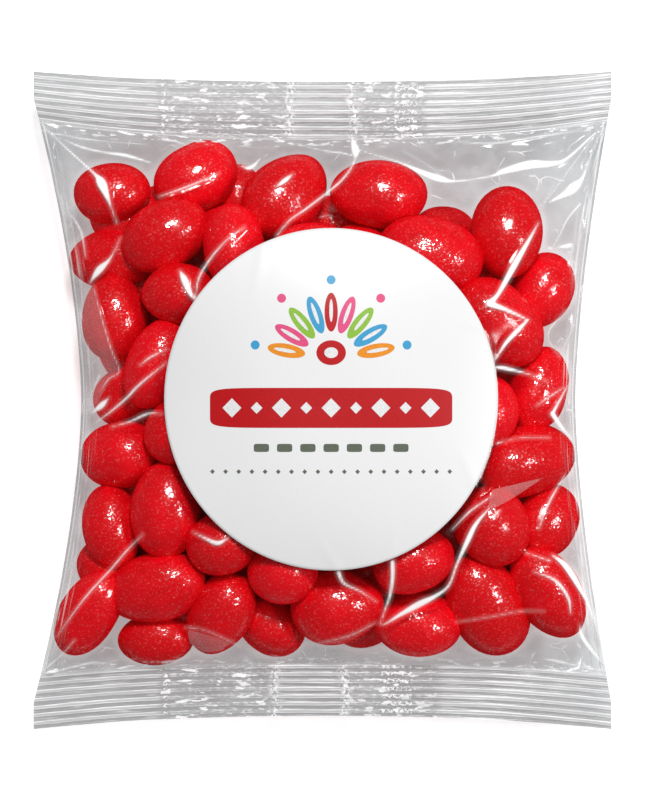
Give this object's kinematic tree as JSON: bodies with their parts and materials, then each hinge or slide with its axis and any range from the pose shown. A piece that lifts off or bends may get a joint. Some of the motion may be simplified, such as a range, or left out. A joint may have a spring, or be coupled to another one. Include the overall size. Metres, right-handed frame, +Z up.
{
  "type": "bag of candy coated peanuts",
  "caption": "Clear sealed pillow bag filled with red candy-coated peanuts, with crimped end seals and a round white label on the front.",
  "frame": {"origin": "under the middle of the bag, on the surface that it lies on", "axes": "+Z up out of the label, +Y from the bottom seal to the top seal, +X along the seals"},
  "size_m": [0.109, 0.124, 0.0315],
  "materials": {
    "film": "clear glossy film over red sugar-shelled sweets",
    "sweets": "polished sugar shell",
    "label_paper": "coated paper, semi-gloss"
  },
  "bodies": {
    "root": {"bag": "film", "label": "label_paper"}
  },
  "joints": []
}
